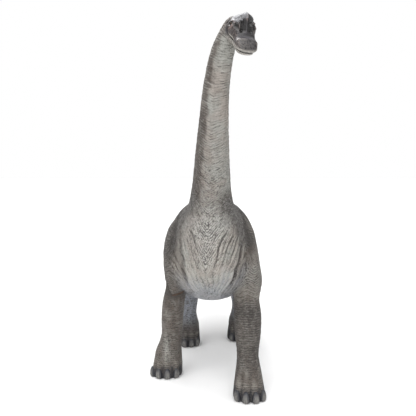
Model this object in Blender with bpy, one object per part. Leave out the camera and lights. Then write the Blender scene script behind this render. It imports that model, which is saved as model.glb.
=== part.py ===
"""A standing long-necked dinosaur statue, cast hollow and painted, about 2.8 m tall.

Metres, +Z up. The animal faces -Y and its left side is +X. The origin lies on the floor under
the middle of the statue. Every limb is a run of oval sections along a curved line, so each
sub-part is one stretch of such a run and ends in a flat face 0.3 mm from the next one.
"""
import math

import bmesh
import bpy
import numpy as np
from mathutils import Matrix

GAP = 0.0003
# Superellipse powers: 2 is a true ellipse, more is squarer, as on the cheeks and soles.
ROUND, BOXY = 2.2, 2.4
# The sections below are written from the point on the floor between the four feet, and these
# bring the origin under the middle of the statue.
CENTRE_X = -0.0519
CENTRE_Y = 0.4955

# Sections from tail tip to head: side offset, y, z, half width, half depth above and below the
# line, and the pitch of the section, 0 where the body runs level and 90 where it rises upright.
SPINE = np.array([
    (0.000, 2.180, 0.600, 0.012, 0.012, 0.012, -14),
    (0.004, 1.940, 0.580, 0.030, 0.030, 0.030, -6),
    (0.006, 1.640, 0.645, 0.056, 0.058, 0.058, 14),
    (0.004, 1.340, 0.760, 0.088, 0.094, 0.092, 23),
    (-0.002, 1.060, 0.885, 0.135, 0.142, 0.140, 22),
    (-0.006, 0.820, 0.975, 0.205, 0.215, 0.205, 12),
    (-0.008, 0.520, 1.020, 0.300, 0.290, 0.290, 3),
    (-0.008, 0.200, 1.040, 0.362, 0.362, 0.370, 0),
    (-0.012, -0.120, 1.065, 0.375, 0.410, 0.410, 4),
    (-0.018, -0.370, 1.130, 0.345, 0.410, 0.430, 20),
    (-0.022, -0.520, 1.270, 0.262, 0.330, 0.370, 40),
    (-0.022, -0.625, 1.430, 0.188, 0.235, 0.265, 56),
    (-0.020, -0.710, 1.620, 0.146, 0.180, 0.190, 65),
    (-0.013, -0.815, 1.900, 0.119, 0.145, 0.145, 72),
    (0.001, -0.890, 2.180, 0.099, 0.116, 0.116, 78),
    (0.026, -0.940, 2.420, 0.085, 0.098, 0.098, 82),
    (0.067, -0.970, 2.590, 0.076, 0.086, 0.086, 82),
    (0.110, -0.985, 2.695, 0.066, 0.070, 0.072, 64),
    (0.144, -1.025, 2.735, 0.054, 0.052, 0.058, 25),
])
# Sub-parts along the spine: first and last section, rings, and sides of each ring.
STRETCHES = {
    "tail_tip": (0.0, 2.0, 6, 12),
    "tail_middle": (2.0, 3.5, 5, 16),
    "tail_base": (3.5, 5.3, 6, 18),
    "trunk": (5.3, 11.3, 14, 22),
    "neck_lower": (11.3, 13.0, 5, 20),
    "neck_middle": (13.0, 15.0, 6, 18),
    "neck_upper": (15.0, 18.0, 9, 18),
}

# Sections of a leg from inside the body down to the sole: x, y, z, half width across, half
# depth along. The two forelegs stride, so each leg has its own line.
LEGS = {
    "fore_left": [
        (0.110, -0.320, 1.395, 0.115, 0.120), (0.172, -0.350, 1.280, 0.145, 0.180),
        (0.212, -0.370, 1.130, 0.142, 0.200), (0.250, -0.415, 0.990, 0.125, 0.175),
        (0.267, -0.480, 0.870, 0.118, 0.145), (0.257, -0.545, 0.745, 0.102, 0.117),
        (0.265, -0.590, 0.620, 0.107, 0.112), (0.266, -0.625, 0.485, 0.100, 0.102),
        (0.262, -0.655, 0.340, 0.085, 0.090), (0.267, -0.675, 0.225, 0.098, 0.102)],
    "fore_right": [
        (-0.150, -0.300, 1.395, 0.115, 0.120), (-0.212, -0.320, 1.280, 0.150, 0.180),
        (-0.262, -0.335, 1.130, 0.145, 0.200), (-0.284, -0.360, 0.990, 0.124, 0.175),
        (-0.290, -0.375, 0.880, 0.108, 0.145), (-0.304, -0.365, 0.790, 0.092, 0.117),
        (-0.333, -0.330, 0.640, 0.090, 0.110), (-0.345, -0.295, 0.500, 0.089, 0.100),
        (-0.352, -0.262, 0.350, 0.088, 0.092), (-0.378, -0.244, 0.225, 0.108, 0.104)],
    "hind_left": [
        (0.120, 0.560, 1.180, 0.110, 0.150), (0.170, 0.560, 1.060, 0.145, 0.235),
        (0.212, 0.550, 0.900, 0.146, 0.240), (0.245, 0.560, 0.740, 0.140, 0.200),
        (0.276, 0.590, 0.600, 0.128, 0.160), (0.308, 0.640, 0.450, 0.118, 0.128),
        (0.312, 0.680, 0.330, 0.110, 0.116), (0.290, 0.685, 0.215, 0.120, 0.122)],
    "hind_right": [
        (-0.130, 0.540, 1.180, 0.110, 0.150), (-0.180, 0.530, 1.060, 0.145, 0.235),
        (-0.222, 0.510, 0.900, 0.146, 0.240), (-0.240, 0.490, 0.740, 0.140, 0.200),
        (-0.248, 0.480, 0.600, 0.126, 0.160), (-0.258, 0.495, 0.450, 0.114, 0.128),
        (-0.266, 0.520, 0.330, 0.104, 0.114), (-0.250, 0.520, 0.215, 0.114, 0.120)],
}
# Each foot: centre on the floor, half width, half length, outward turn and the toes' angles
# from straight ahead, both in degrees.
FEET = {
    "fore_left": (0.273, -0.690, 0.124, 0.122, 1, (-50, -16, 18, 51)),
    "fore_right": (-0.396, -0.240, 0.130, 0.120, -10, (-50, -17, 15, 49)),
    "hind_left": (0.285, 0.680, 0.130, 0.126, 5, (-45, -14, 17, 47)),
    "hind_right": (-0.246, 0.525, 0.122, 0.124, -4, (-41, -9, 22, 50)),
}
# The section at the elbow or knee, where the upper leg ends.
KNEE = {"fore_left": 5, "fore_right": 5, "hind_left": 4, "hind_right": 4}
UPPER_RINGS, LOWER_RINGS, LEG_SIDES = 7, 5, 16
FOOT_HEIGHTS = (0.165, 0.115, 0.080, 0.045, 0.014, 0.0)
FOOT_SIDES = 22
# The foot widens from the ankle to a sole with a rounded edge, and swells over each toe.
FOOT_FLARE = 1.5
SOLE_EDGE_HEIGHT, SOLE_EDGE_INSET = 0.018, 0.10
TOE_TOP = 0.128
TOE_SWELL = 0.085
TOE_SPREAD = math.radians(11.5)
NAIL_SIZE = (0.050, 0.038, 0.066)
NAIL_LIFT = 0.005
NAIL_INSET = 0.95

# The head's own axes: across to its left, forward along the snout, up to the crest. Its
# sections from the nape to the lips: forward, middle height, half width, height above and
# below the middle, and the roundness of the crown, where less than 2 makes a ridge.
HEAD = np.array([
    (-0.012, -0.006, 0.056, 0.050, 0.054, 2.2),
    (0.010, -0.003, 0.070, 0.068, 0.062, 2.1),
    (0.040, 0.000, 0.083, 0.088, 0.066, 1.8),
    (0.080, 0.002, 0.093, 0.114, 0.062, 1.7),
    (0.115, 0.002, 0.091, 0.122, 0.056, 1.7),
    (0.145, -0.002, 0.078, 0.092, 0.046, 1.8),
    (0.175, -0.008, 0.073, 0.052, 0.038, 2.2),
    (0.210, -0.014, 0.077, 0.038, 0.033, 2.4),
    (0.250, -0.020, 0.074, 0.033, 0.031, 2.4),
    (0.282, -0.028, 0.056, 0.024, 0.023, 2.2),
    (0.298, -0.033, 0.028, 0.010, 0.010, 2.0),
])
JAW = np.array([
    (0.045, -0.068, 0.052, 0.012, 0.014, 2.2),
    (0.090, -0.064, 0.066, 0.014, 0.022, 2.2),
    (0.150, -0.056, 0.064, 0.014, 0.025, 2.2),
    (0.210, -0.055, 0.063, 0.014, 0.026, 2.2),
    (0.255, -0.055, 0.056, 0.012, 0.022, 2.2),
    (0.284, -0.053, 0.036, 0.008, 0.012, 2.2),
])
HEAD_AT = (0.158, -1.000, 2.742)
HEAD_YAW, HEAD_PITCH, HEAD_ROLL = math.radians(17), math.radians(46), math.radians(2)
HEAD_MESH, JAW_MESH = (15, 20), (8, 14)
EYE_AT = (0.072, 0.086, 0.030)
EYE_RADIUS = 0.0165
EYE_MESH, NAIL_MESH = (10, 7), (8, 5)

COLOURS = {
    "skin": ((0.27, 0.25, 0.23), 0.62),
    "nail": ((0.30, 0.31, 0.33), 0.45),
    "eye": ((0.02, 0.015, 0.012), 0.12),
}


def smooth_rows(rows, at):
    """Rows between the listed ones, on a Catmull-Rom curve through them; at counts in rows."""
    rows = np.asarray(rows, dtype=float)
    at = np.clip(np.asarray(at, dtype=float), 0, len(rows) - 1)
    left = np.minimum(at.astype(int), len(rows) - 2)
    step = (at - left)[:, None]
    before = rows[np.maximum(left - 1, 0)]
    first = rows[left]
    second = rows[left + 1]
    after = rows[np.minimum(left + 2, len(rows) - 1)]
    return first + 0.5 * step * (second - before + step * (
        2 * before - 5 * first + 4 * second - after + step * (3 * (first - second) + after - before)))


def oval(sides, half_width, above, below, power=ROUND, crown=ROUND):
    """Points of a rounded oval: a superellipse whose upper and lower halves differ."""
    angle = np.arange(sides) * 2 * math.pi / sides
    bend = 2 / np.where(np.sin(angle) > 0, crown, power)
    across = np.sign(np.cos(angle)) * np.abs(np.cos(angle)) ** bend * half_width
    height = np.sign(np.sin(angle)) * np.abs(np.sin(angle)) ** bend
    return across, np.where(height > 0, height * above, height * below)


def material(name):
    made = bpy.data.materials.get(name) or bpy.data.materials.new(name)
    made.use_nodes = True
    colour, roughness = COLOURS[name]
    surface = made.node_tree.nodes["Principled BSDF"]
    surface.inputs["Base Color"].default_value = (*colour, 1)
    surface.inputs["Roughness"].default_value = roughness
    surface.inputs["Metallic"].default_value = 0
    return made


def loft(name, rings, finish, collection):
    """One closed solid through rings of equal count, with a flat cap at each end."""
    rings = np.asarray(rings)
    count, sides = rings.shape[:2]
    mesh = bmesh.new()
    verts = [mesh.verts.new(point) for point in rings.reshape(-1, 3)]
    for ring in range(count - 1):
        for side in range(sides):
            here, there = ring * sides, (ring + 1) * sides
            ahead = (side + 1) % sides
            corners = (here + side, here + ahead, there + ahead, there + side)
            mesh.faces.new([verts[corner] for corner in corners])
    mesh.faces.new(verts[:sides][::-1])
    mesh.faces.new(verts[-sides:])
    bmesh.ops.recalc_face_normals(mesh, faces=mesh.faces)
    bmesh.ops.triangulate(mesh, faces=mesh.faces)
    data = bpy.data.meshes.new(name)
    mesh.to_mesh(data)
    mesh.free()
    data.materials.append(material(finish))
    data.shade_smooth()
    made = bpy.data.objects.new(name, data)
    collection.objects.link(made)
    return made


def spine_rings(start, end, rings, sides):
    """Rings of the neck, trunk or tail between two stations, each in its own tilted plane."""
    at = np.linspace(start, end, rings)
    rows = smooth_rows(SPINE, at)
    run = smooth_rows(SPINE, at + 0.05) - smooth_rows(SPINE, at - 0.05)
    lean = run[:, 0] / np.hypot(run[:, 1], run[:, 2])
    made = []
    for (x, y, z, width, above, below, pitch), slant in zip(rows, lean):
        pitch = math.radians(pitch)
        ahead = np.array((slant, -math.cos(pitch), math.sin(pitch)))
        ahead /= np.linalg.norm(ahead)
        across = np.array((1.0, 0, 0)) - ahead[0] * ahead
        across /= np.linalg.norm(across)
        up = np.cross(ahead, across)
        side, height = oval(sides, width, above, below)
        made.append(np.array((x - CENTRE_X, y - CENTRE_Y, z)) + side[:, None] * across + height[:, None] * up)
    return np.array(made)


def shorten(rings, amount):
    """Pull the last ring back along the run, so that the next piece keeps its gap."""
    step = rings[-1].mean(axis=0) - rings[-2].mean(axis=0)
    rings[-1] -= step / np.linalg.norm(step) * amount
    return rings


def leg_rings(leg, start, end, rings, grow=0.0):
    """Level rings of one leg, from inside the body down to the top of its foot."""
    made = []
    for x, y, z, width, depth in smooth_rows(LEGS[leg], np.linspace(start, end, rings)):
        side, along = oval(LEG_SIDES, width + grow, depth + grow, depth + grow)
        made.append(np.stack((x - CENTRE_X + side, y - CENTRE_Y + along, np.full(LEG_SIDES, z)), axis=1))
    return np.array(made)


def foot_rings(leg):
    """Level rings of a foot: the leg's last oval widens to the sole and swells at each toe."""
    x, y, half_width, half_length, turn, toes = FEET[leg]
    top_x, top_y, top_z, top_width, top_depth = LEGS[leg][-1]
    angle = np.arange(FOOT_SIDES) * 2 * math.pi / FOOT_SIDES
    made = []
    for height in (top_z, *FOOT_HEIGHTS):
        rise = height / top_z
        wide = half_width + (top_width - half_width) * rise ** FOOT_FLARE
        long = half_length + (top_depth - half_length) * rise ** FOOT_FLARE
        toe_part = max(0.0, 1 - (height / TOE_TOP) ** 2)
        swell = np.zeros(FOOT_SIDES)
        for toe in toes:
            off = (angle - math.radians(turn + toe - 90) + math.pi) % (2 * math.pi) - math.pi
            swell += np.exp(-(off / TOE_SPREAD) ** 2)
        scale = 1 + TOE_SWELL * toe_part * swell
        scale *= 1 - SOLE_EDGE_INSET * max(0.0, 1 - height / SOLE_EDGE_HEIGHT) ** 2
        side, along = oval(FOOT_SIDES, wide, long, long, BOXY, BOXY)
        made.append(np.stack((x + (top_x - x) * rise - CENTRE_X + side * scale,
                              y + (top_y - y) * rise - CENTRE_Y + along * scale,
                              np.full(FOOT_SIDES, height)), axis=1))
    return np.array(made)


def head_matrix():
    turn = Matrix.Rotation(HEAD_YAW, 4, "Z") @ Matrix.Rotation(HEAD_PITCH, 4, "X")
    turn = turn @ Matrix.Rotation(HEAD_ROLL, 4, "Y")
    x, y, z = HEAD_AT
    return Matrix.Translation((x - CENTRE_X, y - CENTRE_Y, z)) @ turn


def head_rings(table, rings, sides, grow=0.0):
    """Rings of the head or jaw in the head's own axes; grow widens and lengthens them."""
    made = []
    rows = smooth_rows(table, np.linspace(0, len(table) - 1, rings))
    rows[0, 0] -= grow
    rows[-1, 0] += grow
    for ahead, middle, width, above, below, crown in rows:
        side, height = oval(sides, width + grow, above + grow, below + grow, BOXY, crown)
        made.append(np.stack((side, np.full(sides, -ahead), middle + height), axis=1))
    return np.array(made)


def cut(targets, cutter):
    """Cut one solid out of each target with an exact Boolean, then drop the cutter."""
    for target in targets:
        step = target.modifiers.new("cut", "BOOLEAN")
        step.operation = "DIFFERENCE"
        step.solver = "EXACT"
        step.object = cutter
        result = bpy.data.meshes.new_from_object(target.evaluated_get(bpy.context.evaluated_depsgraph_get()))
        target.modifiers.remove(step)
        target.data = result
    bpy.data.objects.remove(cutter)


def ball(name, place, radii, turn, segments, finish, collection):
    """An egg with the given half sizes, turned and placed; segments counts round and down."""
    mesh = bmesh.new()
    bmesh.ops.create_uvsphere(mesh, u_segments=segments[0], v_segments=segments[1], radius=1)
    bmesh.ops.transform(mesh, matrix=Matrix.Translation(place) @ turn @ Matrix.Diagonal((*radii, 1)),
                        verts=mesh.verts)
    bmesh.ops.triangulate(mesh, faces=mesh.faces)
    data = bpy.data.meshes.new(name)
    mesh.to_mesh(data)
    mesh.free()
    data.materials.append(material(finish))
    data.shade_smooth()
    made = bpy.data.objects.new(name, data)
    collection.objects.link(made)
    return made


def add_body(parts):
    """Tail, trunk and neck, each a stretch of the one spine."""
    made = {}
    for name, stretch in STRETCHES.items():
        made[name] = loft(name, shorten(spine_rings(*stretch), GAP), "skin", parts)
    return made["tail_base"], made["trunk"], made["neck_upper"]


def add_leg(leg, hosts, parts, cutters):
    """Upper and lower leg, let into a socket in the body."""
    last = len(LEGS[leg]) - 1
    stretches = {"upper": (0, KNEE[leg], UPPER_RINGS), "lower": (KNEE[leg], last, LOWER_RINGS)}
    for piece, stretch in stretches.items():
        loft(f"{leg}_{piece}", shorten(leg_rings(leg, *stretch), GAP), "skin", parts)
        socket = leg_rings(leg, *stretch, grow=2 * GAP)
        socket[0, :, 2] += 2 * GAP
        cut(hosts, loft("socket", socket, "skin", cutters))


def add_foot(leg, parts, cutters):
    """Foot and its nails, each nail bedded in the tip of its toe."""
    foot = loft(leg + "_foot", foot_rings(leg), "skin", parts)
    x, y, half_width, half_length, turn, toes = FEET[leg]
    reach = (1 + TOE_SWELL) * NAIL_INSET
    half_size = np.array(NAIL_SIZE) / 2
    for number, toe in enumerate(toes, 1):
        way = math.radians(toe + turn)
        place = (x - CENTRE_X + math.sin(way) * half_width * reach,
                 y - CENTRE_Y - math.cos(way) * half_length * reach, half_size[2] + NAIL_LIFT)
        spin = Matrix.Rotation(way, 4, "Z")
        cut([foot], ball("bed", place, half_size + GAP, spin, NAIL_MESH, "nail", cutters))
        ball(f"{leg}_nail_{number}", place, half_size, spin, NAIL_MESH, "nail", parts)


def add_head(neck, parts, cutters):
    """Head, lower jaw and eyes in the head's own tilt; the nape is let into the neck."""
    place = head_matrix()
    head = loft("head", head_rings(HEAD, *HEAD_MESH), "skin", parts)
    jaw = loft("lower_jaw", head_rings(JAW, *JAW_MESH), "skin", parts)
    cut([head], loft("bed", head_rings(JAW, *JAW_MESH, grow=2 * GAP), "skin", cutters))
    for side, sign in (("left", 1), ("right", -1)):
        across, ahead, up = EYE_AT
        centre = (sign * across, -ahead, up)
        cut([head], ball("orbit", centre, [EYE_RADIUS + GAP] * 3, Matrix(), EYE_MESH, "eye", cutters))
        eye = ball("eye_" + side, centre, [EYE_RADIUS] * 3, Matrix(), EYE_MESH, "eye", parts)
        eye.data.transform(place)
    head.data.transform(place)
    jaw.data.transform(place)
    for table, mesh in ((HEAD, HEAD_MESH), (JAW, JAW_MESH)):
        nape = loft("nape", head_rings(table, *mesh, grow=2 * GAP), "skin", cutters)
        nape.data.transform(place)
        cut([neck], nape)


def main():
    for thing in list(bpy.data.objects):
        bpy.data.objects.remove(thing)
    parts = bpy.data.collections.new("dinosaur_statue")
    cutters = bpy.data.collections.new("cutters")
    bpy.context.scene.collection.children.link(parts)
    bpy.context.scene.collection.children.link(cutters)
    tail, trunk, neck = add_body(parts)
    for leg in LEGS:
        add_leg(leg, (trunk, tail) if leg.startswith("hind") else (trunk,), parts, cutters)
        add_foot(leg, parts, cutters)
    add_head(neck, parts, cutters)


main()
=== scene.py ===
"""A standing long-necked dinosaur statue, cast hollow in glass-fibre resin and painted by hand.

Metres, +Z up. The animal faces -Y and its left side is +X.
"""
import math

import bpy
import numpy as np
from mathutils import Matrix


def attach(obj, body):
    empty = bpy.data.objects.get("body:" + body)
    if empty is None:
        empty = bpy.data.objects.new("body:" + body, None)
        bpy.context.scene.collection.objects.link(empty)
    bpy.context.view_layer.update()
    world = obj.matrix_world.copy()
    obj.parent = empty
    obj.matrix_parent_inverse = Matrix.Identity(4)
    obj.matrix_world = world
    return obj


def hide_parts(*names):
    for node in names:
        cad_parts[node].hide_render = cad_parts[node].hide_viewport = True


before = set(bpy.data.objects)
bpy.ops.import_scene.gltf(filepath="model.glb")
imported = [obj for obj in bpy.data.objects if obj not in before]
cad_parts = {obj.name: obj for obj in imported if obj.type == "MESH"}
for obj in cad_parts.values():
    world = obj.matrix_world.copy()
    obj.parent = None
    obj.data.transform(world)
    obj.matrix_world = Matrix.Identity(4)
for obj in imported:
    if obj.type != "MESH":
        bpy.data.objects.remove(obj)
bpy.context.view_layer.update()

# The camera stands five metres from the middle of the statue, at the eye height of a standing
# person, and looks a few degrees down, so that the head is seen from a little below.
CAMERA_PLACE = (0.0069, -5.0755, 1.785)
CAMERA_LEAN = math.radians(85.3)


def put(name, data):
    """Add an object that shows this mesh, light or camera to the scene."""
    made = bpy.data.objects.new(name, data)
    bpy.context.scene.collection.objects.link(made)
    return made


lens = bpy.data.cameras.new("camera")
lens.sensor_width, lens.lens = 36, 45
camera = put("camera", lens)
camera.location = CAMERA_PLACE
camera.rotation_euler = (CAMERA_LEAN, 0, 0)
bpy.context.scene.camera = camera

# Tail, trunk and neck of the cast skin: one closed tube of rounded oval sections along the
# spine, laid up in glass-fibre resin in a mould, with a shell about 5 mm thick.
ORIGIN = np.array((0.0519, -0.4955, 0.0))
# Sections from tail tip to nape: side offset, y, z, half width, half depth above and below the
# line, and the pitch of the section, 0 where the body runs level and 90 where it rises upright.
SPINE = np.array([
    (0.000, 2.180, 0.600, 0.012, 0.012, 0.012, -14), (0.004, 1.940, 0.580, 0.030, 0.030, 0.030, -6),
    (0.006, 1.640, 0.645, 0.056, 0.058, 0.058, 14), (0.004, 1.340, 0.760, 0.088, 0.094, 0.092, 23),
    (-0.002, 1.060, 0.885, 0.135, 0.142, 0.140, 22), (-0.006, 0.820, 0.975, 0.205, 0.215, 0.205, 12),
    (-0.008, 0.520, 1.020, 0.300, 0.290, 0.290, 3), (-0.008, 0.200, 1.040, 0.362, 0.362, 0.370, 0),
    (-0.012, -0.120, 1.065, 0.375, 0.410, 0.410, 4), (-0.018, -0.370, 1.130, 0.345, 0.410, 0.430, 20),
    (-0.022, -0.520, 1.270, 0.262, 0.330, 0.370, 40), (-0.022, -0.625, 1.430, 0.188, 0.235, 0.265, 56),
    (-0.020, -0.710, 1.620, 0.146, 0.180, 0.190, 65), (-0.013, -0.815, 1.900, 0.119, 0.145, 0.145, 72),
    (0.001, -0.890, 2.180, 0.099, 0.116, 0.116, 78), (0.026, -0.940, 2.420, 0.085, 0.098, 0.098, 82),
    (0.067, -0.970, 2.590, 0.076, 0.086, 0.086, 82), (0.110, -0.985, 2.695, 0.066, 0.070, 0.072, 64),
    (0.144, -1.025, 2.735, 0.054, 0.052, 0.058, 25)])
# Powers of the rounded ovals: 2 gives an ellipse, and more gives a boxier section.
ROUND, BOXY = 2.2, 2.4
SPINE_RINGS, SPINE_SIDES = 460, 144
shells = []


def between(rows, at):
    """Rows between the listed ones, on a Catmull-Rom curve through them; at counts in rows."""
    rows = np.asarray(rows, dtype=float)
    at = np.clip(np.asarray(at, dtype=float), 0, len(rows) - 1)
    left = np.minimum(at.astype(int), len(rows) - 2)
    step = (at - left)[:, None]
    before, first = rows[np.maximum(left - 1, 0)], rows[left]
    second, after = rows[left + 1], rows[np.minimum(left + 2, len(rows) - 1)]
    return first + 0.5 * step * (second - before + step * (
        2 * before - 5 * first + 4 * second - after + step * (3 * (first - second) + after - before)))


def oval(sides, wide, above, below, power=ROUND, crown=ROUND):
    """Rounded ovals, one row each: cosine and sine of the angle, each raised to 2 over the power,
    times the half width and the half height above or below."""
    angle = np.arange(sides) * 2 * math.pi / sides
    wide, above, below, crown = (np.broadcast_to(value, np.shape(wide))[:, None]
                                 for value in (wide, above, below, crown))
    bend = 2 / np.where(np.sin(angle) > 0, crown, power)
    side = np.sign(np.cos(angle)) * np.abs(np.cos(angle)) ** bend * wide
    height = np.sign(np.sin(angle)) * np.abs(np.sin(angle)) ** bend
    return side, np.where(height > 0, height * above, height * below)


def tube(grid):
    """Points, four-cornered faces and triangles of a closed tube: each row of the grid is a ring,
    and a fan of triangles to the middle of the first and last ring closes the ends."""
    rings, sides = grid.shape[:2]
    here = np.arange(rings * sides).reshape(rings, sides)
    ahead = np.roll(here, -1, axis=1)
    quads = np.stack((here[:-1], ahead[:-1], ahead[1:], here[1:]), axis=-1).reshape(-1, 4)
    first, last = rings * sides, rings * sides + 1
    fans = np.concatenate((np.stack((ahead[0], here[0], np.full(sides, first)), axis=-1),
                           np.stack((here[-1], ahead[-1], np.full(sides, last)), axis=-1)))
    return np.concatenate((grid.reshape(-1, 3), grid[[0, -1]].mean(axis=1))), quads, fans


def spine_at(at):
    """Centres, axes ahead, across and up, and half sizes of the spine's sections."""
    at = np.asarray(at, dtype=float)
    rows = between(SPINE, at)
    run = between(SPINE, at + 0.05) - between(SPINE, at - 0.05)
    pitch = np.radians(rows[:, 6])
    ahead = np.stack((run[:, 0] / np.hypot(run[:, 1], run[:, 2]), -np.cos(pitch), np.sin(pitch)), axis=1)
    ahead /= np.linalg.norm(ahead, axis=1)[:, None]
    across = np.array((1.0, 0, 0)) - ahead[:, :1] * ahead
    across /= np.linalg.norm(across, axis=1)[:, None]
    return rows[:, :3] + ORIGIN, ahead, across, np.cross(ahead, across), rows[:, 3:6]


centre, ahead, across, up, half = spine_at(np.linspace(0, len(SPINE) - 1, SPINE_RINGS))
side, height = oval(SPINE_SIDES, *half.T)
shells.append(tube(centre[:, None] + side[..., None] * across[:, None] + height[..., None] * up[:, None]))

# The four legs of the same skin, in mid stride, each a run of level ovals from inside the body
# to the ankle, and below it a foot that widens and swells into four toes with deep clefts.
# Sections: x, y, z, half width across, half depth along.
LEGS = {
    "fore_left": (
        (0.110, -0.320, 1.395, 0.115, 0.120), (0.172, -0.350, 1.280, 0.145, 0.180),
        (0.212, -0.370, 1.130, 0.142, 0.200), (0.250, -0.415, 0.990, 0.125, 0.175),
        (0.267, -0.480, 0.870, 0.118, 0.145), (0.257, -0.545, 0.745, 0.102, 0.117),
        (0.265, -0.590, 0.620, 0.107, 0.112), (0.266, -0.625, 0.485, 0.100, 0.102),
        (0.262, -0.655, 0.340, 0.085, 0.090), (0.267, -0.675, 0.225, 0.098, 0.102)),
    "fore_right": (
        (-0.150, -0.300, 1.395, 0.115, 0.120), (-0.212, -0.320, 1.280, 0.150, 0.180),
        (-0.262, -0.335, 1.130, 0.145, 0.200), (-0.284, -0.360, 0.990, 0.124, 0.175),
        (-0.290, -0.375, 0.880, 0.108, 0.145), (-0.304, -0.365, 0.790, 0.092, 0.117),
        (-0.333, -0.330, 0.640, 0.090, 0.110), (-0.345, -0.295, 0.500, 0.089, 0.100),
        (-0.352, -0.262, 0.350, 0.088, 0.092), (-0.378, -0.244, 0.225, 0.108, 0.104)),
    "hind_left": (
        (0.120, 0.560, 1.180, 0.110, 0.150), (0.170, 0.560, 1.060, 0.145, 0.235),
        (0.212, 0.550, 0.900, 0.146, 0.240), (0.245, 0.560, 0.740, 0.140, 0.200),
        (0.276, 0.590, 0.600, 0.128, 0.160), (0.308, 0.640, 0.450, 0.118, 0.128),
        (0.312, 0.680, 0.330, 0.110, 0.116), (0.290, 0.685, 0.215, 0.120, 0.122)),
    "hind_right": (
        (-0.130, 0.540, 1.180, 0.110, 0.150), (-0.180, 0.530, 1.060, 0.145, 0.235),
        (-0.222, 0.510, 0.900, 0.146, 0.240), (-0.240, 0.490, 0.740, 0.140, 0.200),
        (-0.248, 0.480, 0.600, 0.126, 0.160), (-0.258, 0.495, 0.450, 0.114, 0.128),
        (-0.266, 0.520, 0.330, 0.104, 0.114), (-0.250, 0.520, 0.215, 0.114, 0.120)),
}
# Feet: centre on the floor, half width and length, outward turn and the toes' angles, degrees.
FEET = {
    "fore_left": (0.273, -0.690, 0.124, 0.122, 1, (-50, -16, 18, 51)),
    "fore_right": (-0.396, -0.240, 0.130, 0.120, -10, (-50, -17, 15, 49)),
    "hind_left": (0.285, 0.680, 0.130, 0.126, 5, (-45, -14, 17, 47)),
    "hind_right": (-0.246, 0.525, 0.122, 0.124, -4, (-41, -9, 22, 50)),
}
# The rings of a foot crowd towards the floor, and its flare grows with the depth below the ankle.
FOOT_CROWD, FOOT_FLARE = 1.3, 1.5
TOE_TOP, TOE_SWELL, TOE_HALF, TOE_CLEFT = 0.135, 0.06, math.radians(16.5), 0.15
SOLE_EDGE_HEIGHT, SOLE_EDGE_INSET = 0.018, 0.10
LEG_RINGS, LEG_SIDES, FOOT_RINGS, FOOT_SIDES = 120, 72, 60, 180


def toe_lobes(angle, turn, toes):
    """1 at the middle of each toe, falling as a half circle to 0 in the clefts between them."""
    off = angle[..., None] - np.radians(turn + np.array(toes) - 90)
    off = np.abs((off + math.pi) % (2 * math.pi) - math.pi).min(axis=-1)
    return np.sqrt(np.clip(1 - (off / TOE_HALF) ** 2, 0, 1)), off


for leg, sections in LEGS.items():
    rows = between(sections, np.linspace(0, len(sections) - 1, LEG_RINGS))
    side, along = oval(LEG_SIDES, rows[:, 3], rows[:, 4], rows[:, 4])
    rings = np.stack((rows[:, :1] + side, rows[:, 1:2] + along,
                      np.broadcast_to(rows[:, 2:3], side.shape)), axis=-1)
    shells.append(tube(rings + ORIGIN))
    x, y, half_width, half_length, turn, toes = FEET[leg]
    top_x, top_y, top_z, top_width, top_depth = sections[-1]
    rise = np.linspace(1, 0, FOOT_RINGS) ** FOOT_CROWD
    height = rise * top_z
    wide = half_width + (top_width - half_width) * rise ** FOOT_FLARE
    long = half_length + (top_depth - half_length) * rise ** FOOT_FLARE
    side, along = oval(FOOT_SIDES, wide, long, long, BOXY, BOXY)
    lobe, off = toe_lobes(np.arange(FOOT_SIDES) * 2 * math.pi / FOOT_SIDES, turn, toes)
    front = np.clip(2 - off / TOE_HALF, 0, 1)
    swell = (TOE_SWELL + TOE_CLEFT) * lobe - TOE_CLEFT * front
    scale = 1 + swell * np.clip(1 - (height / TOE_TOP) ** 3, 0, 1)[:, None]
    scale *= 1 - SOLE_EDGE_INSET * np.clip(1 - height / SOLE_EDGE_HEIGHT, 0, 1)[:, None] ** 2
    rings = np.stack((x + (top_x - x) * rise[:, None] + side * scale,
                      y + (top_y - y) * rise[:, None] + along * scale,
                      np.broadcast_to(height[:, None], side.shape)), axis=-1)
    shells.append(tube(rings + ORIGIN))

# The head and lower jaw of the same skin, shut, with a tall crest over broad flat lips. They
# hang from the nape at half a right angle, turned a little to the animal's left.
# Sections from nape to lips: forward, middle height, half width, height above and below the
# middle, and the roundness of the crown.
HEAD = np.array([
    (-0.012, -0.006, 0.056, 0.050, 0.054, 2.2), (0.010, -0.003, 0.070, 0.068, 0.062, 2.1),
    (0.040, 0.000, 0.083, 0.088, 0.066, 1.8), (0.080, 0.002, 0.093, 0.114, 0.062, 1.7),
    (0.115, 0.002, 0.091, 0.122, 0.056, 1.7), (0.145, -0.002, 0.078, 0.092, 0.046, 1.8),
    (0.175, -0.008, 0.073, 0.052, 0.038, 2.2), (0.210, -0.014, 0.077, 0.038, 0.033, 2.4),
    (0.250, -0.020, 0.074, 0.033, 0.031, 2.4), (0.282, -0.028, 0.056, 0.024, 0.023, 2.2),
    (0.298, -0.033, 0.028, 0.010, 0.010, 2.0)])
JAW = np.array([
    (0.045, -0.068, 0.052, 0.012, 0.014, 2.2), (0.090, -0.064, 0.066, 0.014, 0.022, 2.2),
    (0.150, -0.056, 0.064, 0.014, 0.025, 2.2), (0.210, -0.055, 0.063, 0.014, 0.026, 2.2),
    (0.255, -0.055, 0.056, 0.012, 0.022, 2.2), (0.284, -0.053, 0.036, 0.008, 0.012, 2.2)])
HEAD_AT = Matrix.Translation((0.158 + ORIGIN[0], -1.000 + ORIGIN[1], 2.742))
HEAD_TURN = (Matrix.Rotation(math.radians(17), 4, "Z") @ Matrix.Rotation(math.radians(46), 4, "X")
             @ Matrix.Rotation(math.radians(2), 4, "Y"))
HEAD_RINGS, HEAD_SIDES = 140, 120
JAW_DROP = 0.086
head_axes = np.array(HEAD_AT @ HEAD_TURN)


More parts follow.
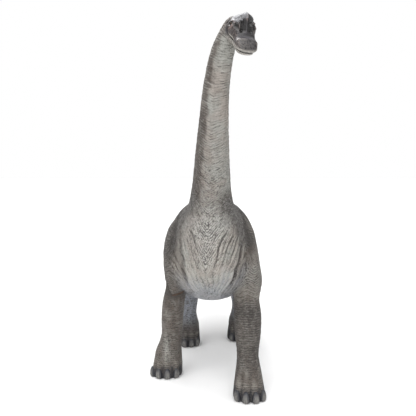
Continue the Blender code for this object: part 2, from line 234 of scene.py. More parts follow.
def from_head(points):
    """From the head's own axes (its left, backward, up) to the statue's."""
    return points @ head_axes[:3, :3].T + head_axes[:3, 3]


def to_head(points):
    """From the statue's axes to the head's: left, forward, up."""
    return (points - head_axes[:3, 3]) @ head_axes[:3, :3] * (1, -1, 1)


for table in (HEAD, JAW):
    rows = between(table, np.linspace(0, len(table) - 1, HEAD_RINGS))
    side, height = oval(HEAD_SIDES, rows[:, 2], rows[:, 3], rows[:, 4], BOXY, rows[:, 5])
    grid = np.stack((side, np.broadcast_to(-rows[:, :1], side.shape), rows[:, 1:2] + height), axis=-1)
    shells.append(tube(from_head(grid)))

# The shells are merged into the one skin that the mould gives: a voxel remesh takes their outer
# surface, and the creases where legs and head meet the body are worked smooth.
FINE_VOXEL = 0.004
VOXEL = FINE_VOXEL
SKIN_TRIANGLES = 192000
JOIN_ROUNDS, JOIN_SHARE = 90, 0.6
# Mixing numbers of the repeatable noise.
HASH_AXES, HASH_MIX, HASH_SEED = (73856093, 19349663, 83492791), 1274126177, 7919
SPINE_STEPS, LEG_STEPS, POINTS_AT_ONCE = 361, 200, 40000
# Added to a point's oval size above the top of a leg, where the leg doesn't reach.
OUT_OF_REACH = 9


def make_mesh(name, tubes):
    """One smooth mesh of all these closed tubes."""
    starts = np.cumsum([0] + [len(points) for points, _, _ in tubes])
    faces = [part + start for start, (_, quads, fans) in zip(starts, tubes) for part in (quads, fans)]
    mesh = bpy.data.meshes.new(name)
    mesh.from_pydata(np.concatenate([points for points, _, _ in tubes]).tolist(), [],
                     [face for part in faces for face in part.tolist()])
    mesh.shade_smooth()
    return mesh


def read_points(mesh):
    """Vertex places and normals as two arrays."""
    places, normals = np.empty(len(mesh.vertices) * 3), np.empty(len(mesh.vertices) * 3)
    mesh.vertices.foreach_get("co", places)
    mesh.vertex_normals.foreach_get("vector", normals)
    return places.reshape(-1, 3), normals.reshape(-1, 3)


def settle(piece):
    """Apply the piece's modifiers to its own mesh."""
    mesh = bpy.data.meshes.new_from_object(piece.evaluated_get(bpy.context.evaluated_depsgraph_get()))
    piece.modifiers.clear()
    piece.data = mesh
    return mesh


def smooth_step(low, high, value):
    """0 below low, 1 above high, and 3 t squared less 2 t cubed between."""
    part = np.clip((value - low) / (high - low), 0, 1)
    return part * part * (3 - 2 * part)


def bump(value, middle, width):
    """A bell curve, 1 at the middle."""
    return np.exp(-((value - middle) / width) ** 2)


def cloud(points, size, seed):
    """Smooth noise from -1 to 1: random values on a grid of that size, blended between corners."""
    place = points / size
    cell = np.floor(place).astype(np.int64)
    part = place - cell
    part = part * part * (3 - 2 * part)
    total = np.zeros(len(points))
    for corner in np.ndindex(2, 2, 2):
        mixed = ((cell + corner) * HASH_AXES).sum(axis=1) + seed * HASH_SEED
        mixed = ((mixed ^ (mixed >> 13)) * HASH_MIX) & 0xFFFFFFFF
        value = ((mixed ^ (mixed >> 16)) & 0xFFFF) / 32768 - 1
        total += value * np.prod(np.where(corner, part, 1 - part), axis=1)
    return total


def relax(points, edges, share, rounds):
    """Move each point towards the middle of its neighbours by its own share, a few times over."""
    count = np.bincount(edges.ravel(), minlength=len(points))[:, None]
    for _ in range(rounds):
        total = np.stack([np.bincount(edges[:, 0], points[edges[:, 1], axis], len(points))
                          + np.bincount(edges[:, 1], points[edges[:, 0], axis], len(points))
                          for axis in range(3)], axis=1)
        points = points + share[:, None] * (total / count - points)
    return points


STATIONS = np.linspace(0, len(SPINE) - 1, SPINE_STEPS)
spine_centre, spine_ahead, spine_across, spine_up, spine_half = spine_at(STATIONS)
spine_length = np.concatenate(([0], np.cumsum(np.linalg.norm(np.diff(spine_centre, axis=0), axis=1))))


def on_spine(points):
    """Each point's nearest section of the spine: station, length from the tail tip, side and
    height within the section, and the size of the oval through it, 1 on the body's surface."""
    nearest = np.concatenate([
        ((spine_centre ** 2).sum(axis=1) - 2 * some @ spine_centre.T).argmin(axis=1)
        for some in np.array_split(points, max(1, len(points) // POINTS_AT_ONCE))])
    away = points - spine_centre[nearest]
    ahead, side, height = ((away * axes[nearest]).sum(axis=1)
                           for axes in (spine_ahead, spine_across, spine_up))
    half = spine_half[nearest]
    tall = np.where(height > 0, half[:, 1], half[:, 2])
    size = (np.abs(side / half[:, 0]) ** ROUND + np.abs(height / tall) ** ROUND) ** (1 / ROUND)
    return STATIONS[nearest], spine_length[nearest] + ahead, side, height, size


def on_leg(points, leg):
    """Side and depth from a leg's line at each point's height, and the size of the oval through
    it, 1 on the leg's surface."""
    rows = between(LEGS[leg], np.linspace(0, len(LEGS[leg]) - 1, LEG_STEPS))[::-1]
    x, y, wide, long = (np.interp(points[:, 2], rows[:, 2], rows[:, column]) for column in (0, 1, 3, 4))
    side, depth = points[:, 0] - x - ORIGIN[0], points[:, 1] - y - ORIGIN[1]
    size = (np.abs(side / wide) ** ROUND + np.abs(depth / long) ** ROUND) ** (1 / ROUND)
    return side, depth, size + OUT_OF_REACH * (points[:, 2] > LEGS[leg][0][2] + 0.02)


def where(points):
    """What the relief and the paint need to know of each point."""
    found = dict(zip(("station", "length", "side", "height", "body"), on_spine(points)))
    found["leg"] = {leg: on_leg(points, leg) for leg in LEGS}
    found["on_leg"] = {leg: smooth_step(-0.10, 0.12, found["body"] - size)
                       for leg, (_, _, size) in found["leg"].items()}
    found["head"] = to_head(points)
    across, forward, up = found["head"].T
    middle, wide, above = (np.interp(forward, HEAD[:, 0], HEAD[:, column]) for column in (1, 2, 3))
    tall = np.where(up > middle, above, JAW_DROP)
    size = np.hypot(across / wide, (up - middle) / tall)
    found["on_head"] = smooth_step(1.30, 1.12, size) * smooth_step(-0.02, 0.015, forward) * (forward < 0.34)
    return found


skin = put("skin", make_mesh("skin", shells))
union = skin.modifiers.new("union", "REMESH")
union.mode, union.voxel_size = "VOXEL", VOXEL
skin_mesh = settle(skin)
points, _ = read_points(skin_mesh)
edges = np.empty(len(skin_mesh.edges) * 2, dtype=np.int32)
skin_mesh.edges.foreach_get("vertices", edges)
edges = edges.reshape(-1, 2)
points = relax(points, edges, np.full(len(points), 0.5), 2)
# How much each point takes part in the smoothing: along the line where a leg's surface meets the
# body's, most of all in its upper part, and around the nape.
found = where(points)
join = np.zeros(len(points))
for leg, (_, _, size) in found["leg"].items():
    seam = bump(size, 1, 0.22) * bump(found["body"], 1, 0.16)
    low, high = (0.98, 1.12) if leg.startswith("fore") else (0.72, 0.86)
    join = np.maximum(join, seam * (0.25 + 0.75 * smooth_step(low, high, points[:, 2])))
nape = bump(found["head"][:, 1], 0.0, 0.035) * (points[:, 2] > 2.5)
join = np.clip(np.maximum(join, 0.7 * nape) * 1.6, 0, 1)
points = relax(points, edges, join * JOIN_SHARE, int(JOIN_ROUNDS * (FINE_VOXEL / VOXEL) ** 2))
skin_mesh.vertices.foreach_set("co", points.ravel())
skin_mesh.update()

# The modelled folds and wrinkles of the skin, worked into the mould by hand: pleats and long
# folds on the chest, rings on throat and legs, a crease at the right elbow, tendons over the toes.
CHEST_X = 0.043
# Folds as seen from the front: the first and last line (x, z) of each fan of folds, how many it
# has, their depth and half width. The folds of a fan lie evenly between its two lines.
FANS = (
    (((0.173, 1.334), (0.120, 1.262), (0.086, 1.175), (0.064, 1.078), (0.048, 1.000)),
     ((0.262, 1.262), (0.240, 1.195), (0.219, 1.127), (0.184, 1.030), (0.150, 0.952)), 6, 0.0100, 0.0090),
    (((-0.118, 1.322), (-0.096, 1.260), (-0.073, 1.194), (-0.040, 1.111)),
     ((-0.180, 1.240), (-0.150, 1.161), (-0.118, 1.078), (-0.090, 0.994)), 4, 0.0048, 0.0100),
)
# Single folds: the edge of each arm, the slit of the left armpit and the middle of the belly.
ARMPIT = ((0.232, 0.980), (0.214, 0.935), (0.184, 0.880))
FOLDS = (
    (((0.269, 1.228), (0.254, 1.145), (0.240, 1.061), (0.221, 0.985), (0.191, 0.886), (0.158, 0.833)),
     0.009, 0.011),
    (((-0.206, 1.249), (-0.197, 1.172), (-0.189, 1.087), (-0.180, 1.002), (-0.158, 0.878), (-0.116, 0.807)),
     0.006, 0.014),
    (ARMPIT, 0.014, 0.008),
    (((0.044, 1.020), (0.046, 0.940), (0.044, 0.860)), 0.003, 0.010),
)
ELBOW = ((-0.330, 0.838), (-0.308, 0.768), (-0.284, 0.738), (-0.262, 0.741), (-0.213, 0.757), (-0.165, 0.785))
PLEAT, PLEAT_DEPTH = 0.24, 0.0036
# How wide the pleated front of the chest is at these heights, as half widths.
PLEAT_HEIGHTS = (0.73, 0.85, 0.987, 1.13, 1.28, 1.40)
PLEAT_SPREAD = (0.05, 0.12, 0.19, 0.27, 0.36, 0.42)
# Unevenness of the hand modelling, coarse and fine, and the y before which the chest's front lies.
UNEVEN, UNEVEN_FINE, CHEST_FRONT = 0.0022, 0.0012, -0.85
# Heights of the modelled ridges, and their lengths from ridge to ridge.
NECK_RIDGE, FLANK_RIDGE, TAIL_RIDGE, LEG_RIDGE = 0.0018, 0.0024, 0.0014, 0.0013
NECK_RING, FLANK_RING, TAIL_RING, LEG_RING, KNUCKLE_RING = 0.040, 0.115, 0.045, 0.034, 0.017
TENDON, KNUCKLE = 0.0045, 0.0022
# The rows of wrinkles droop towards the middle by this much at these stations of the spine. They
# count from a height at the chest's station, those of the hind legs at the hip's, and on the legs
# they zigzag over a width by a height.
DROOP_AT, DROOP = (8, 9.5, 11, 13, 16, 18), (0, 1.0, 1.0, 0.45, 0.25, 0.2)
CHEST_STATION, CHEST_HEIGHT, HIP_STATION, HIP_HEIGHT = 10, 1.27, 6, 1.0
ZIGZAG, ZIGZAG_HEIGHT = 0.062, 0.030
NOSTRIL, EYE_AT = (0.035, 0.170, 0.042), (0.072, 0.086, 0.030)
# The mouth's line: forward and up. The ridge along the top of the upper lip: forward. The dark
# paint between the lips: up.
MOUTH = ((0.03, 0.09, 0.15, 0.21, 0.255, 0.30), (-0.040, -0.046, -0.043, -0.041, -0.040, -0.040))
LIP_RIDGE, MOUTH_LEVEL = 0.230, -0.040
# The brow, the sharp edge between the roof of the crest and its front: forward on the middle line,
# and how far back it has come at the side. The peak stands to the right of the middle.
BROW, BROW_BACK, BROW_SIDE, PEAK_SIDE = 0.119, 0.039, 0.083, 0.012
# The crest's front has a ridge and two grooves on each side, so far from the middle.
CREST_RIDGE, CREST_GROOVES = 0.047, (0.034, 0.062)
# Lines on the side of the head, forward and up: above the eye, under it and behind the jaw.
EYE_SLOT = ((0.060, 0.060), (0.085, 0.068), (0.115, 0.055))
CHEEK = ((0.075, 0.008), (0.085, -0.020), (0.100, -0.040))
JAW_LINE = ((0.010, 0.06), (0.018, 0.01), (0.030, -0.05))


def line_distance(x, z, line):
    """Distance to a line of straight runs, in the plane seen from the front, and how far along."""
    best, along = np.full(len(x), 9.0), np.zeros(len(x))
    for number, ((x0, z0), (x1, z1)) in enumerate(zip(line, line[1:])):
        run_x, run_z = x1 - x0, z1 - z0
        part = np.clip(((x - x0) * run_x + (z - z0) * run_z) / (run_x ** 2 + run_z ** 2), 0, 1)
        gap = np.hypot(x - x0 - part * run_x, z - z0 - part * run_z)
        along = np.where(gap < best, (number + part) / (len(line) - 1), along)
        best = np.minimum(best, gap)
    return best, along


def near_line(x, z, line, width):
    """1 on a line, falling to its sides as a bell curve."""
    return bump(line_distance(x, z, line)[0], 0, width)


def crease(gap, depth, width):
    """A groove of that depth between two low rounded lips."""
    return depth * (0.55 * bump(gap, 2.0 * width, width) - bump(gap, 0, width))


def waves(phase):
    """Rounded ridges with narrow valleys, from -1 in a valley to 1, one for each unit of phase."""
    return 2 * np.sqrt(np.abs(np.sin(phase * math.pi))) - 1


def toes_at(x, y, leg):
    """How much each point is on a toe of that foot, and how far it is from the foot's middle."""
    foot_x, foot_y, _, _, turn, toes = FEET[leg]
    away_x, away_y = x - foot_x - ORIGIN[0], y - foot_y - ORIGIN[1]
    return toe_lobes(np.arctan2(away_y, away_x), turn, toes)[0], np.hypot(away_x, away_y)


def row_height(points, found):
    """The height that each row of wrinkles keeps: along the spine on the body, drooping to the
    middle of throat and chest, and level with a zigzag on the legs."""
    droop = np.interp(found["station"], DROOP_AT, DROOP)
    chest, hip = np.interp((CHEST_STATION, HIP_STATION), STATIONS, spine_length)
    start = chest - CHEST_HEIGHT
    row = found["length"] - start - droop * np.abs(found["side"] - 0.12 * found["height"])
    for leg, share in found["on_leg"].items():
        shift = 0.0 if leg.startswith("fore") else hip - start - HIP_HEIGHT
        zigzag = np.abs((points[:, 0] / ZIGZAG) % 2 - 1) * ZIGZAG_HEIGHT
        upper = smooth_step(0.66, 0.80, points[:, 2])
        row += share * (points[:, 2] + shift + zigzag * (0.15 + 0.85 * upper) - row)
    return row


def head_relief(found):
    """Mouth, lips, nostrils, brow, grooves of the crest and the rims of the eyes."""
    across, forward, up = found["head"].T
    left = np.abs(across)
    made = smooth_step(0.075, 0.11, forward) * crease(np.abs(up - np.interp(forward, *MOUTH)), 0.008, 0.006)
    lip = smooth_step(0.16, 0.19, forward) * smooth_step(-0.03, 0.01, up)
    made += lip * (0.004 * bump(forward, LIP_RIDGE, 0.011) - 0.003 * bump(forward, 0.195, 0.016))
    made -= 0.011 * np.exp(-((left - NOSTRIL[0]) / 0.013) ** 2 - ((forward - NOSTRIL[1]) / 0.013) ** 2
                           - ((up - NOSTRIL[2]) / 0.012) ** 2)
    face = forward - BROW + BROW_BACK * (left / BROW_SIDE) ** 4
    high = smooth_step(0.03, 0.05, up) * smooth_step(0.20, 0.16, forward)
    front = high * smooth_step(0.0, 0.007, face)
    made += high * 0.003 * bump(face, -0.004, 0.006) - front * 0.006
    peak = across + PEAK_SIDE
    roof = smooth_step(0.060, 0.085, up) * smooth_step(-0.022, -0.008, face)
    made -= 0.014 * smooth_step(0.010, 0.030, np.abs(peak)) * roof
    made += 0.012 * bump(peak, 0, 0.017) * smooth_step(0.080, 0.105, up) * bump(face, -0.012, 0.022)
    made += front * 0.004 * (bump(left, 0, 0.005) + bump(left, CREST_RIDGE, 0.004))
    made -= front * 0.006 * (bump(left, CREST_GROOVES[0], 0.005) + bump(left, CREST_GROOVES[1], 0.006))
    eye = np.hypot(forward - EYE_AT[1], (up - EYE_AT[2]) * 1.35)
    side_on = smooth_step(0.045, 0.065, left)
    made += side_on * (0.0045 * bump(eye, 0.022, 0.006) - 0.006 * bump(eye, 0, 0.013))
    for line, depth, width in ((EYE_SLOT, 0.006, 0.007), (CHEEK, 0.004, 0.005), (JAW_LINE, 0.004, 0.006)):
        made -= side_on * depth * near_line(forward, up, line, width)
    return made


def relief(points, normals, found):
    """Height of the modelling over the plain skin, in metres."""
    x, y, z = points.T
    warp = cloud(points, 0.09, 3)
    fine = cloud(points, 0.035, 4)
    body = 1 - np.max(list(found["on_leg"].values()), axis=0)
    made = UNEVEN * cloud(points, 0.16, 1) + UNEVEN_FINE * fine
    facing = smooth_step(-0.1, 0.35, -normals[:, 1])
    chest = facing * (y < CHEST_FRONT) * (z < 1.6) * body
    phase = (x - CHEST_X) / np.interp(z, PLEAT_HEIGHTS, PLEAT_SPREAD) / PLEAT + 0.35 * warp
    made += chest * PLEAT_DEPTH * waves(phase) * smooth_step(1.26, 1.05, z) * smooth_step(0.74, 0.84, z)
    for first, last, folds, depth, width in FANS + tuple((line, line, 1, *size) for line, *size in FOLDS):
        for part in np.linspace(0, 1, folds):
            line = np.array(first) * (1 - part) + np.array(last) * part
            # The folds of a fan differ in depth and in where they run out.
            own = 1 - 0.45 * (part * 7.7 % 1) * (folds > 1)
            gap, along = line_distance(x + 0.010 * warp, z + 0.006 * fine, line)
            ends = smooth_step(0, 0.2, along) * smooth_step(1.0, 0.75 - 0.3 * (part * 5.3 % 1), along)
            made += facing * (y < CHEST_FRONT) * crease(gap, depth * own, width) * ends
    elbow, _ = line_distance(x, z + 0.004 * fine, ELBOW)
    arm = found["on_leg"]["fore_right"] * (normals[:, 1] < 0.4)
    below = smooth_step(0.03, -0.02, z - np.interp(x, *np.array(ELBOW).T))
    made -= arm * (0.010 * bump(elbow, 0, 0.007) + 0.006 * below * bump(elbow, 0, 0.05))
    row = row_height(points, found)
    neck = smooth_step(10.5, 12.5, found["station"]) * (1 - found["on_head"])
    made += neck * NECK_RIDGE * waves(row / NECK_RING + 0.5 * warp) * (0.6 + 0.4 * fine)
    trunk = body * smooth_step(4.5, 6, found["station"]) * smooth_step(11, 9.5, found["station"])
    flank = trunk * smooth_step(0.1, 0.3, np.abs(found["side"])) * (1 - chest)
    flank *= 0.5 + 0.5 * cloud(points, 0.3, 5)
    made += flank * FLANK_RIDGE * waves(found["length"] / FLANK_RING + 0.30 * warp + 0.08 * fine)
    tail = smooth_step(5.5, 4.5, found["station"]) * body
    made += tail * TAIL_RIDGE * waves(found["length"] / TAIL_RING + 0.3 * warp)
    for leg, share in found["on_leg"].items():
        ring = waves(row / LEG_RING + 0.6 * warp + 0.3 * fine)
        made += share * LEG_RIDGE * ring * smooth_step(0.22, 0.40, z)
        lobe, _ = toes_at(x, y, leg)
        tendon = share * smooth_step(0.42, 0.22, z) * smooth_step(0.09, 0.14, z)
        made += tendon * TENDON * (lobe - 0.6) * (0.7 + 0.6 * fine)
        knuckle = share * lobe * smooth_step(0.16, 0.13, z) * smooth_step(0.06, 0.08, z)
        made += knuckle * KNUCKLE * waves(z / KNUCKLE_RING)
    made *= 1 - found["on_head"]
    made += found["on_head"] * (head_relief(found) + 0.0008 * fine)
    return made * smooth_step(0.004, 0.03, z)


points, normals = read_points(skin_mesh)
found = where(points)
points = points + normals * relief(points, normals, found)[:, None]
points[:, 2] = np.maximum(points[:, 2], 0)
skin_mesh.vertices.foreach_set("co", points.ravel())
skin_mesh.update()
kept = skin.vertex_groups.new(name="kept fine")
kept.add(np.flatnonzero(found["on_head"] > 0.5).tolist(), 1.0, "REPLACE")
thin = skin.modifiers.new("thin", "DECIMATE")
thin.vertex_group, thin.invert_vertex_group = "kept fine", True
thin.ratio = min(1, SKIN_TRIANGLES / (2 * len(skin_mesh.polygons)))
thin.use_collapse_triangulate = True
skin_mesh = settle(skin)
skin_mesh.shade_smooth()

# The skin's paint: a warm grey coat, dry-brushed pale on throat and chest, darker in the valleys of the folds
# and between the toes, and near black with a gloss on the head. Painted highlights lie on the roof of the
# crest, the upper lip, the muzzle, the chest and the right shin, a painted shade in the slit of the left
# armpit, and a painted bluish light from the floor on the belly and the hind legs.
DARK, UMBER = (0.032, 0.028, 0.026), (0.062, 0.052, 0.046)
WARM, BROWN = (0.134, 0.117, 0.101), (0.098, 0.078, 0.064)
WARM_PATCH, STREAK = (0.190, 0.185, 0.165), (0.215, 0.200, 0.180)
PALE, PINKISH, BOUNCE_LIGHT_BLUE = (0.370, 0.374, 0.345), (0.385, 0.350, 0.315), (0.288, 0.306, 0.342)
SHADE, IN_FOLD, ON_FOLD = (0.052, 0.045, 0.041), (0.045, 0.038, 0.034), (0.5, 0.47, 0.42)
BRUSHED_AND_HIGHLIGHT, HIGHLIGHT = (0.52, 0.51, 0.48), (0.55, 0.54, 0.51)
RUST, TOE_BLACK = (0.14, 0.075, 0.045), (0.022, 0.024, 0.031)
HEAD_BLACK, HEAD_GREY, GAP_BLACK = (0.024, 0.022, 0.024), (0.095, 0.088, 0.090), (0.014, 0.013, 0.014)
WORN, CREST_STRIP, CREST_EDGE = (0.150, 0.138, 0.142), (0.105, 0.099, 0.110), (0.17, 0.145, 0.138)
GROOVE_BLACK, HEAD_PINK, SNOUT = (0.010, 0.009, 0.009), (0.20, 0.145, 0.132), (0.060, 0.056, 0.064)
MUZZLE_PALE_AND_HIGHLIGHT, LIP_TOP_HIGHLIGHT, LIP = (0.112, 0.103, 0.097), (0.22, 0.205, 0.195), (0.33, 0.31, 0.285)
CHEEK_BROWN, ROOF_HIGHLIGHT = (0.135, 0.108, 0.097), (0.31, 0.31, 0.325)


class Paint:
    """A socket in a material's node tree; arithmetic on it adds Math nodes."""

    def __init__(self, tree, socket=None):
        self.tree, self.socket = tree, socket

    def node(self, kind, settings=(), inputs=(), output=0):
        """Any node: its settings are set first, then the values or links of its sockets."""
        made = self.tree.nodes.new("ShaderNode" + kind)
        for name, value in dict(settings).items():
            setattr(made, name, value)
        for name, value in dict(inputs).items():
            if isinstance(value, Paint):
                self.tree.links.new(value.socket, made.inputs[name])
            else:
                made.inputs[name].default_value = value
        return Paint(self.tree, made.outputs[output])

    def maths(self, operation, *values):
        return self.node("Math", {"operation": operation}, dict(enumerate(values)))

    def vector(self, operation, other, output=0):
        return self.node("VectorMath", {"operation": operation}, {0: self, 1: other}, output)

    def __add__(self, other):
        return self.maths("ADD", self, other)

    def __sub__(self, other):
        return self.maths("SUBTRACT", self, other)

    def __rsub__(self, other):
        return self.maths("SUBTRACT", other, self)

    def __mul__(self, other):
        return self.maths("MULTIPLY", self, other)

    def __pow__(self, other):
        return self.maths("POWER", self, other)

    def __abs__(self):
        return self.maths("ABSOLUTE", self)

    __radd__, __rmul__ = __add__, __mul__

    def ramp(self, low, high, to_low=0.0, to_high=1.0):
        """A smooth step from one value to another."""
        return self.node("MapRange", {"interpolation_type": "SMOOTHSTEP"},
                         {0: self, 1: low, 2: high, 3: to_low, 4: to_high})

    def mix(self, first, second):
        """Colour between two others, by this socket."""
        first, second = ((*c, 1) if isinstance(c, tuple) else c for c in (first, second))
        return self.node("Mix", {"data_type": "RGBA"}, {0: self, 6: first, 7: second}, 2)

    def mark(self, name):
        """A value painted on the mesh."""
        return self.node("Attribute", {"attribute_name": name}, output=2)

    def noise(self, place, scale, detail=2.0, roughness=0.5):
        return self.node("TexNoise", inputs={"Vector": place, "Scale": scale, "Detail": detail,
                                             "Roughness": roughness})


def new_paint(name):
    """An empty material, its paint tools, the place on the object and its surface shader."""
    made = bpy.data.materials.new(name)
    made.use_nodes = True
    tools = Paint(made.node_tree)
    place = tools.node("TexCoord", output=3)
    return made, tools, place, made.node_tree.nodes["Principled BSDF"]


def layered(colour, *layers):
    """The colour with others brushed over it in order, each as a pair of its share and colour."""
    for share, over in layers:
        colour = share.mix(colour, over)
    return colour


def connect(shader, **sockets):
    for name, value in sockets.items():
        shader.id_data.links.new(value.socket, shader.inputs[name.replace("_", " ")])


points, normals = read_points(skin_mesh)
found = where(points)
x, y, z = points.T
station, legs, on_head = found["station"], found["on_leg"], found["on_head"]
thigh = np.maximum(legs["hind_left"], legs["hind_right"])
arms = np.maximum(legs["fore_left"], legs["fore_right"])
limbs = np.max(list(legs.values()), axis=0)
facing = -normals[:, 1]

# Brushed pale: the side of the neck that the throat faces, in a slanting cloudy edge, and the front of the
# chest between its two edges, brighter down its middle as a painted highlight. Paler also: a streak down the
# right shin, partly scuffs and partly a painted highlight on the leg's front, and a patch on the left arm.
THROAT_SIDE, THROAT_DOWN, NECK_PALE = 0.41, 0.91, 0.69
# Height, and how far the pale front reaches to the left and to the right.
CHEST_EDGES = np.array(((0.80, 0.120, -0.110), (0.84, 0.158, -0.130), (0.89, 0.191, -0.160),
                        (1.00, 0.224, -0.180), (1.06, 0.240, -0.187), (1.14, 0.254, -0.195),
                        (1.23, 0.269, -0.204), (1.32, 0.285, -0.200), (1.45, 0.220, -0.150)))
around = np.hypot(found["side"], found["height"]) + 1e-6
throat = (THROAT_SIDE * found["side"] - THROAT_DOWN * found["height"]) / around
slant = np.stack((2.5 * x + z, y, 0.3 * (x - 2.5 * z)), axis=1)
throat += 0.11 * cloud(slant, 0.07, 8) + 0.09 * cloud(slant, 0.028, 18)
neck_share = smooth_step(11.0, 12.4, station)
neck_pale = smooth_step(0.42, 0.76, throat) * neck_share
left_edge, right_edge = (np.interp(z, CHEST_EDGES[:, 0], CHEST_EDGES[:, column]) for column in (1, 2))
inside = np.minimum(left_edge - x, x - right_edge) + 0.008 * cloud(points, 0.05, 11)
chest_pale_and_highlight = smooth_step(-0.006, 0.022, inside) * smooth_step(-0.1, 0.4, facing) * (y < -0.7)
# The chest is painted brighter down its middle: a painted highlight where the light from the front falls
# fullest.
chest_pale_and_highlight *= smooth_step(12.2, 11.0, station) * (0.80 + 0.20 * bump(x, 0.01, 0.13))
# The streak down the middle of the right shin and foot: partly scuffed paint, partly a painted highlight on
# the leg's front.
pale_streaks_and_shin_highlight = legs["fore_right"] * (
    0.80 * bump(x, -0.337, 0.026) * smooth_step(0.12, 0.17, z) * smooth_step(0.45, 0.24, z)
    + 0.22 * bump(x, -0.335, 0.030) * smooth_step(0.24, 0.45, z) * smooth_step(0.72, 0.55, z))
pale_streaks_and_shin_highlight += 0.46 * legs["fore_left"] * bump(z, 1.00, 0.13)

# Darker: a run (x, z) down each shoulder with its strength, width and noise, the right shoulder's edge, the
# limbs in parts and the side of the neck, and a painted shade in the slit of the left armpit.
SHOULDER_DARK_RUNS = ((((0.175, 1.50), (0.235, 1.40), (0.300, 1.27), (0.315, 1.20)), 1.38, 0.062, 14),
          (((-0.140, 1.54), (-0.200, 1.44), (-0.270, 1.34), (-0.320, 1.22), (-0.330, 1.15)), 1.7, 0.056, 15))
darkening_and_armpit_shade = 0.72 * smooth_step(-0.20, -0.26, x) * smooth_step(1.05, 1.20, z) * smooth_step(1.50, 1.40, z)
for line, strength, width, seed in SHOULDER_DARK_RUNS:
    darkening_and_armpit_shade += strength * near_line(x + 0.02 * cloud(points, 0.07, seed), z, line, width)
darkening_and_armpit_shade *= smooth_step(-0.50, -0.78, y)
darkening_and_armpit_shade += (1.1 * legs["fore_left"] * smooth_step(0.80, 0.66, z) * smooth_step(0.1, 0.3, z)
           * (0.48 + 0.5 * bump(z, 0.63, 0.08) + 0.6 * cloud(points, 0.12, 9)))
darkening_and_armpit_shade += 0.75 * thigh * smooth_step(0.34, 0.12, z) + 0.42 * legs["fore_right"] * smooth_step(0.78, 0.92, z)
# Painted shade: the slit of the left armpit is painted dark.
darkening_and_armpit_shade += 1.3 * near_line(x, z, ARMPIT, 0.011) * (y < -0.8)
darkening_and_armpit_shade += 0.34 * neck_share * (1 - neck_pale) * (1 - on_head)

# A painted bluish light from the floor on the belly and the fronts of the hind legs, black toes with lighter
# knuckles, and rust in the right elbow.
belly = smooth_step(0.99 + 0.10 * (x > 0.1), 0.80, z + 0.03 * cloud(points, 0.06, 13))
belly *= 0.68 * (1 - limbs) * smooth_step(5.5, 7, station)
shank = thigh * smooth_step(0.14, 0.34, z) * smooth_step(-0.2, 0.3, facing) * smooth_step(0.80, 0.55, z)
toe = smooth_step(0.125, 0.085, z + 0.012 * cloud(points, 0.025, 12))
for leg in LEGS:
    lobe, away = toes_at(x, y, leg)
    toe = np.where(away < 0.22, toe * (1 - 0.65 * lobe * smooth_step(0.04, 0.09, z)), toe)
rust = near_line(x, z, ELBOW, 0.005) * (normals[:, 1] < 0.2)

# Where the fine texture is strong: rows of dashes on the chest's middle and the arms, and worn scales brushed
# pale in two patches of the chest, the upper one also a painted highlight over the chest's top. It is calm on
# the lower chest and quiet on the neck.
chest_rows = bump(np.hypot((x - 0.015) / 0.9, z - 1.22), 0, 0.17) * (y < -0.9)
arm_rows = arms * (0.08 + 0.42 * smooth_step(0.70, 0.85, z))
rows_seen = 0.22 + 0.78 * chest_rows + 0.069 * neck_pale + arm_rows
# Worn scales low on the chest, and a wider patch over the chest's top that is partly a painted highlight.
worn_scales_and_chest_highlight = np.maximum(bump(np.hypot(x + 0.003, (z - 1.105) / 1.5), 0, 0.052),
                    0.75 * bump(np.hypot(x - 0.012, (z - 1.29) / 1.25), 0, 0.13))
FOLD_DEPTH = 0.010
MARKS = {
    "row": row_height(points, found),
    "fold": np.clip(0.5 - relief(points, normals, found) / FOLD_DEPTH, 0, 1),
    "pale": np.clip(NECK_PALE * neck_pale + chest_pale_and_highlight + pale_streaks_and_shin_highlight - darkening_and_armpit_shade, 0, 1) * (1 - on_head),
    "shade": np.clip(darkening_and_armpit_shade, 0, 1),
    "blue": np.maximum(belly, shank),
    "rows": np.clip(rows_seen + 0.45 * np.clip(darkening_and_armpit_shade, 0, 1), 0, 1),
    "brush": worn_scales_and_chest_highlight * (y < -0.9),
    "quiet": smooth_step(12.2, 13.6, station),
    "calm": smooth_step(1.08, 0.95, z) * chest_pale_and_highlight * (1 - 0.8 * bump(x, -0.003, 0.07)),
    "limb": limbs,
    "toe": toe,
    "rust": rust * legs["fore_right"] * smooth_step(-0.295, -0.26, x),
    "head": on_head,
}
for name, values in MARKS.items():
    skin_mesh.attributes.new(name, "FLOAT", "POINT").data.foreach_set("value", values.astype(np.float32))
skin_paint, tools, place, shader = new_paint("skin_paint")
row, fold, head, limb, shade, brush, quiet = (
    tools.mark(name) for name in ("row", "fold", "head", "limb", "shade", "brush", "quiet"))
# Fineness of the noises that run along the rows of wrinkles: across the rows, along them.
WRINKLES, ARCS, CELLS, ROWS = (175.0, 34.0), (165.0, 15.0), (58.0, 92.0), 57.0


def along_rows(fineness):
    """The place, stretched so that a pattern on it runs in lines along the rows of wrinkles."""
    across, along = fineness
    rising = tools.node("CombineXYZ", inputs={2: row * across})
    return place.vector("MULTIPLY", (along,) * 3).vector("ADD", rising)


